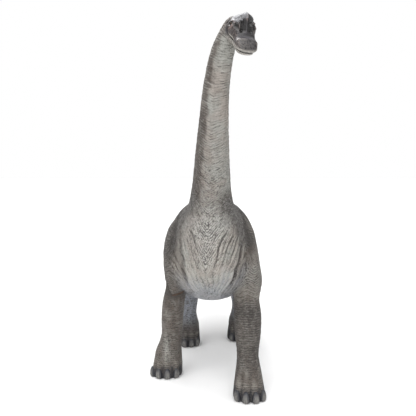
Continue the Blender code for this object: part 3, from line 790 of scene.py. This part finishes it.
wrinkle = tools.noise(along_rows(WRINKLES), 1.0, 2.0, 0.6)
arc = tools.noise(along_rows(ARCS), 1.0, 2.0, 0.6)
pebble = tools.node("TexVoronoi", {"feature": "SMOOTH_F1"},
                    {"Vector": along_rows(CELLS), "Scale": 1.0, "Smoothness": 0.35})
streak = tools.noise(place.vector("MULTIPLY", (26, 26, 5)), 1.0, 3.0, 0.6)
tone, patch = (tools.noise(place, size, 3.0, 0.6) for size in (5.0, 16.0))
grain = tools.noise(place, 150.0, 2.0, 0.6)
rows = tools.maths("PINGPONG", row * ROWS + (patch - 0.5) * 1.6, 0.5) * 2
rows_seen = tools.mark("rows") * patch.ramp(0.35, 0.60, 0.35, 1.0)
texture = ((wrinkle - 0.5) * (2.1 + shade * 1.4) * (1 - quiet * 0.65) + (arc - 0.5) * quiet * 1.7
           + (rows - 0.5) * rows_seen * 1.3
           + (0.40 - pebble) * (1.0 + brush * brush * 1.8) * (1 - quiet * 0.75)
           + (grain - 0.5) * 0.5) * (1 - tools.mark("calm") * 0.5) + 0.5
body = 1 - head
light = texture.ramp(0.52, 1.02) * (0.30 + brush * 0.8 + shade * 0.24) * (1 - limb * 0.72) * body
colour = layered(
    tone.ramp(0.35, 0.65).mix(WARM, BROWN),
    (patch.ramp(0.45, 0.7) * 0.5, WARM_PATCH),
    # Pale paint, with painted highlights down the chest's middle and the right shin.
    (tools.mark("pale") * streak.ramp(0.35, 0.55, 0.70, 1.0), tone.ramp(0.4, 0.65).mix(PALE, PINKISH)),
    # Painted bluish light from the floor on the belly and the fronts of the hind legs.
    (tools.mark("blue") * 0.95, BOUNCE_LIGHT_BLUE),
    # Darker on the shoulders, parts of the limbs and the neck's side, with a painted shade in the armpit's
    # slit.
    (shade * 0.90, SHADE),
    (limb * streak.ramp(0.50, 0.68) * 0.40, STREAK),
    (limb * streak.ramp(0.46, 0.30) * 0.40, UMBER),
    # Brushed pale on worn scales, and over the chest's top a painted highlight.
    (brush * 0.70, BRUSHED_AND_HIGHLIGHT),
    (texture.ramp(0.52, -0.05) * 0.85 * body, DARK),
    (light, HIGHLIGHT),
    (fold.ramp(0.60, 1.0) * 0.75, IN_FOLD),
    (fold.ramp(0.42, 0.05) * 0.25 * body, ON_FOLD),
    (tools.mark("rust") * 0.7, RUST),
    (tools.mark("toe") * grain.ramp(0.45, 0.62, 1.0, 0.45), TOE_BLACK))

# The head's paint, laid out in the head's own axes: its left, forward and up.
own = place.vector("SUBTRACT", tuple(head_axes[:3, 3]))
across, forward, up = (own.vector("DOT_PRODUCT", tuple(axis), 1)
                       for axis in (head_axes[:3, 0], -head_axes[:3, 1], head_axes[:3, 2]))
left = abs(across)
face = forward - BROW + (left * (1 / BROW_SIDE)) ** 4 * BROW_BACK
front = face.ramp(-0.001, 0.003) * up.ramp(0.03, 0.045)
cheek = left.ramp(0.05, 0.06)
eye_gap = ((forward - EYE_AT[1]) ** 2 + (up - EYE_AT[2]) ** 2) ** 0.5
skull, hide = tools.noise(place, 55.0, 4.0, 0.7), tools.noise(place, 95.0, 3.0, 0.65)
drawn = tools.node("CombineXYZ", inputs={0: across * 75, 1: up * 14, 2: forward * 14})
strands = tools.noise(drawn, 1.0, 2.0, 0.6)
peak_edge = abs(across + 0.004).ramp(0.007, 0.003) * face.ramp(-0.002, 0.002) * up.ramp(0.088, 0.098)
# Painted highlight: a pale line along the ridge on top of the upper lip, on the head's right side.
lip_top_highlight = (abs(forward - LIP_RIDGE).ramp(0.010, 0.003) * up.ramp(-0.01, 0.006)
           * abs(across + 0.050).ramp(0.060, 0.010))
# Painted highlight: the roof of the crest is painted pale, fully on its right half and faintly on its left,
# where gloss catches the light from above.
roof = ((face - up.ramp(0.098, 0.113) * 0.012).ramp(0.0, -0.003) * up.ramp(0.032, 0.045)
        * forward.ramp(0.0, 0.02) * across.ramp(0.004, -0.005, 0.12, 1.0))
head_colour = layered(
    skull.ramp(0.42, 0.66).mix(HEAD_BLACK, HEAD_GREY),
    (front * strands.ramp(0.56, 0.42) * 0.85, GAP_BLACK),
    (front * strands.ramp(0.50, 0.62) * 0.85, WORN),
    (abs(across + PEAK_SIDE).ramp(0.018, 0.010) * front * 0.65, CREST_STRIP),
    (abs(left - CREST_RIDGE).ramp(0.007, 0.002) * front, CREST_EDGE),
    (abs(left - CREST_GROOVES[0]).ramp(0.008, 0.003) * front, GROOVE_BLACK),
    (abs(left - CREST_GROOVES[1]).ramp(0.010, 0.004) * front, GROOVE_BLACK),
    (peak_edge * 0.55, HEAD_PINK),
    (forward.ramp(0.178, 0.190) * forward.ramp(0.236, 0.226) * 0.8, SNOUT),
    # Paler mottled grey on the muzzle's front: faint on its left side as its own colour, full on its right
    # side as a painted highlight.
    (forward.ramp(0.222, 0.245) * hide.ramp(0.40, 0.60) * across.ramp(0.03, -0.04, 0.20, 1.0), MUZZLE_PALE_AND_HIGHLIGHT),
    # Painted highlight along the top of the upper lip.
    (lip_top_highlight * 0.5 * skull.ramp(0.3, 0.5, 0.55, 1.0), LIP_TOP_HIGHLIGHT),
    (up.ramp(-0.014, -0.026) * forward.ramp(0.07, 0.11) * skull.ramp(0.25, 0.55, 0.55, 1.0), LIP),
    (abs(up - MOUTH_LEVEL).ramp(0.0085, 0.0040) * forward.ramp(0.08, 0.10), GROOVE_BLACK),
    (cheek * up.ramp(-0.026, -0.014) * hide.ramp(0.44, 0.58) * 0.65, CHEEK_BROWN),
    (abs(eye_gap - 0.027).ramp(0.010, 0.004) * cheek * 0.7, HEAD_PINK),
    (abs(eye_gap - 0.018).ramp(0.006, 0.003) * cheek, GROOVE_BLACK),
    (fold.ramp(0.60, 0.90) * 0.9, GROOVE_BLACK),
    # Painted highlight on the roof of the crest.
    (roof * skull.ramp(0.38, 0.56, 0.45, 1.0), ROOF_HIGHLIGHT))
bumps = tools.node("Bump", inputs={"Strength": 0.9, "Distance": 0.005, "Height": texture * (1 - head * 0.8)})
connect(shader, Base_Color=head.mix(colour, head_colour), Normal=bumps,
        Roughness=0.60 - head * 0.36 + roof * head * 0.22 + grain * 0.12)
shader.inputs["Specular IOR Level"].default_value = 0.4
skin_mesh.materials.clear()
skin_mesh.materials.append(skin_paint)
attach(skin, "root")
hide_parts("head", "lower_jaw", "neck_upper", "neck_middle", "neck_lower", "trunk", "tail_base",
            "tail_middle", "tail_tip",
            *(f"{leg}_{part}" for leg in LEGS for part in ("upper", "lower", "foot")))

# The nails are blunt hoof-like caps on the toes, cast with the foot and picked out in grey, each darkened
# towards its sides as a painted shade. Each is wide and rounded at the floor and narrows upwards, with faint
# ridges down its front.
NAIL_SIZE = (0.062, 0.052, 0.088)
NAIL_LIFT, NAIL_REACH = 0.002, 0.96
NAIL_ROWS, NAIL_SIDES = 28, 48
NAIL_NARROW, NAIL_HEEL, RIDGES, RIDGE_HEIGHT = 0.30, 0.10, 11, 0.030
NAIL_BLACK, NAIL_GREY, NAIL_MOTTLE = (0.038, 0.037, 0.038), (0.270, 0.260, 0.240), (0.06, 0.058, 0.060)
NAIL_TIP, NAIL_TOP, NAIL_SIDE_SHADE = (0.30, 0.29, 0.27), (0.026, 0.028, 0.036), (0.022, 0.023, 0.028)
nail_paint, tools, place, shader = new_paint("nail_paint")
laid = tools.node("UVMap", {"uv_map": "nail"})
sideways, rise = (tools.node("SeparateXYZ", inputs={0: laid}, output=axis) for axis in (0, 1))
lines = tools.noise(laid.vector("MULTIPLY", (40, 1.5, 1)), 1.0, 2.0)
mottle = tools.noise(place, 60.0, 3.0, 0.6)
# The nail's sides are darkened as a painted shade.
colour = layered(lines.ramp(0.36, 0.66).mix(NAIL_BLACK, NAIL_GREY),
                 (mottle.ramp(0.42, 0.65) * 0.6, NAIL_MOTTLE), (rise.ramp(0.26, 0.08) * 0.45, NAIL_TIP),
                 (rise.ramp(0.50, 0.86), NAIL_TOP), (abs(sideways - 0.5).ramp(0.16, 0.40), NAIL_SIDE_SHADE))
connect(shader, Base_Color=colour, Roughness=0.40 + mottle * 0.15,
        Normal=tools.node("Bump", inputs={"Strength": 0.5, "Distance": 0.002, "Height": lines}))


def nail_grid():
    """One nail about its own middle, front towards -Y: a ball with a blunt lower half, narrower
    by a smooth step of the height, reaching back at the floor, with a sine of upright ridges."""
    turn = np.linspace(0, 2 * math.pi, NAIL_SIDES, endpoint=False)
    lean = np.linspace(-math.pi / 2, math.pi / 2, NAIL_ROWS)[:, None]
    rise = np.sin(lean)
    narrow = 1 - NAIL_NARROW * smooth_step(-0.7, 1.0, rise)
    ring = np.abs(np.cos(lean)) ** np.where(rise < 0, 0.36, 0.60) * narrow
    ridges = 1 + RIDGE_HEIGHT * np.sin(turn * RIDGES)
    heel = NAIL_HEEL * rise * (rise < 0)
    grid = np.stack((ring * np.cos(turn) * ridges, ring * np.sin(turn) * ridges - heel,
                     np.broadcast_to(rise, (NAIL_ROWS, NAIL_SIDES))), axis=-1)
    return grid * np.array(NAIL_SIZE) / 2


def lay_uv(mesh, name, across, along):
    """A UV layer from two values of each vertex."""
    corner = np.empty(len(mesh.loops), dtype=np.int32)
    mesh.loops.foreach_get("vertex_index", corner)
    layer = mesh.uv_layers.new(name=name)
    layer.data.foreach_set("uv", np.stack((across, along), axis=1)[corner].ravel())


nail_level = np.concatenate((np.repeat(np.linspace(0, 1, NAIL_ROWS), NAIL_SIDES), (0, 1)))
nail_side = np.concatenate((np.tile(np.abs(np.linspace(-1, 1, NAIL_SIDES)), NAIL_ROWS), (0, 0)))
for leg, (foot_x, foot_y, half_width, half_length, turn, toes) in FEET.items():
    for number, toe_angle in enumerate(toes, 1):
        way = math.radians(toe_angle + turn)
        reach = (1 + TOE_SWELL) * NAIL_REACH
        spot = ORIGIN + (foot_x + math.sin(way) * half_width * reach,
                         foot_y - math.cos(way) * half_length * reach, NAIL_SIZE[2] / 2 + NAIL_LIFT)
        spin = np.array(((math.cos(way), -math.sin(way), 0), (math.sin(way), math.cos(way), 0), (0, 0, 1)))
        mesh = make_mesh(f"nail_{leg}_{number}", [tube(nail_grid() @ spin.T + spot)])
        lay_uv(mesh, "nail", nail_side, nail_level)
        mesh.materials.append(nail_paint)
        nail = put(f"{leg}_nail_{number}_cap", mesh)
        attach(nail, "root")
        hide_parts(f"{leg}_nail_{number}")

# The eyes are small balls of resin under a satin varnish, set in painted sockets, dark brown with
# a black pupil and a dark rim.
EYE_RADIUS, CORNEA = 0.0155, 0.07
EYE_ROWS, EYE_SIDES = 24, 32
IRIS_DARK, IRIS_LIGHT = (0.045, 0.022, 0.010), (0.10, 0.055, 0.022)
PUPIL, EYE_RIM = (0.003, 0.003, 0.003), (0.012, 0.009, 0.008)
eye_paint, tools, place, shader = new_paint("eye_varnish")
laid = tools.node("UVMap", {"uv_map": "eye"})
rim = tools.node("SeparateXYZ", inputs={0: laid}, output=1)
fleck = tools.noise(place, 300.0, 2.0)
connect(shader, Base_Color=layered(fleck.ramp(0.35, 0.7).mix(IRIS_DARK, IRIS_LIGHT),
                                   (rim.ramp(0.16, 0.12), PUPIL), (rim.ramp(0.36, 0.42), EYE_RIM)))
for socket, value in (("Roughness", 0.38), ("Coat Weight", 0.04), ("Specular IOR Level", 0.25)):
    shader.inputs[socket].default_value = value
eye_level = np.concatenate((np.repeat(np.linspace(0, 1, EYE_ROWS), EYE_SIDES), (0, 1)))
for name, sign in (("left", 1), ("right", -1)):
    lean = np.linspace(0, math.pi, EYE_ROWS)[:, None]
    turn = np.linspace(0, 2 * math.pi, EYE_SIDES, endpoint=False)
    swell = 1 + CORNEA * np.exp(-(lean / 0.5) ** 2)
    grid = EYE_RADIUS * swell[..., None] * np.stack(
        (np.broadcast_to(np.cos(lean), (EYE_ROWS, EYE_SIDES)) * sign, np.sin(lean) * np.cos(turn),
         np.sin(lean) * np.sin(turn) * sign), axis=-1)
    mesh = make_mesh("ball_" + name, [tube(from_head(grid + (sign * EYE_AT[0], -EYE_AT[1], EYE_AT[2])))])
    lay_uv(mesh, "eye", eye_level * 0, eye_level)
    mesh.materials.append(eye_paint)
    ball = put(f"eye_{name}_ball", mesh)
    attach(ball, "root")
    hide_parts("eye_" + name)

# The studio: a wide pale floor, a soft key light high in front, a softer one from the other
# side, one overhead and one from behind, a strip for the gloss on the head, and a white surround.
FLOOR_HALF = 60.0
FLOOR_PALE, FLOOR_PALER = (0.93, 0.93, 0.93), (0.95, 0.95, 0.95)
# Height above the floor and direction in degrees, strength, and width of the soft disc in degrees.
SUNS = {"key": (48, -18, 1.85, 60), "fill": (25, 25, 0.6, 90), "top": (84, 10, 1.4, 90),
        "rim": (40, 190, 0.5, 60)}
STRIP_WIDTH, STRIP_LENGTH, STRIP_POWER = 0.9, 0.5, 26
STRIP_PLACE, STRIP_TURN = (-0.10, -1.10, 4.20), (-14, -10, 0)
# The surround is dimmer as a light than as the white that the camera sees.
AMBIENT, SEEN = 0.37, 1.0
mesh = bpy.data.meshes.new("floor")
mesh.from_pydata([(-FLOOR_HALF, -FLOOR_HALF, 0), (FLOOR_HALF, -FLOOR_HALF, 0), (FLOOR_HALF, FLOOR_HALF, 0),
                  (-FLOOR_HALF, FLOOR_HALF, 0)], [], [(0, 1, 2, 3)])
floor_paint, tools, place, shader = new_paint("floor_paint")
connect(shader, Base_Color=tools.noise(place, 2.0).ramp(0.3, 0.7).mix(FLOOR_PALE, FLOOR_PALER))
shader.inputs["Roughness"].default_value = 0.9
mesh.materials.append(floor_paint)
floor = put("floor", mesh)
for name, (rise, turn, strength, spread) in SUNS.items():
    sun = bpy.data.lights.new(name, "SUN")
    sun.energy, sun.angle = strength, math.radians(spread)
    put(name, sun).rotation_euler = (math.radians(90 - rise), 0, math.radians(turn))
strip = bpy.data.lights.new("strip", "AREA")
strip.shape, strip.size, strip.size_y, strip.energy = "RECTANGLE", STRIP_WIDTH, STRIP_LENGTH, STRIP_POWER
lamp = put("strip", strip)
lamp.location = STRIP_PLACE
lamp.rotation_euler = [math.radians(angle) for angle in STRIP_TURN]
world = bpy.data.worlds.new("surround")
world.use_nodes = True
surround = Paint(world.node_tree)
sky = world.node_tree.nodes["Background"]
world.node_tree.links.new(surround.node("LightPath").ramp(0, 1, AMBIENT, SEEN).socket, sky.inputs["Strength"])
sky.inputs["Color"].default_value = (1, 1, 1, 1)
bpy.context.scene.world = world
bpy.context.scene.view_settings.view_transform = "Standard"
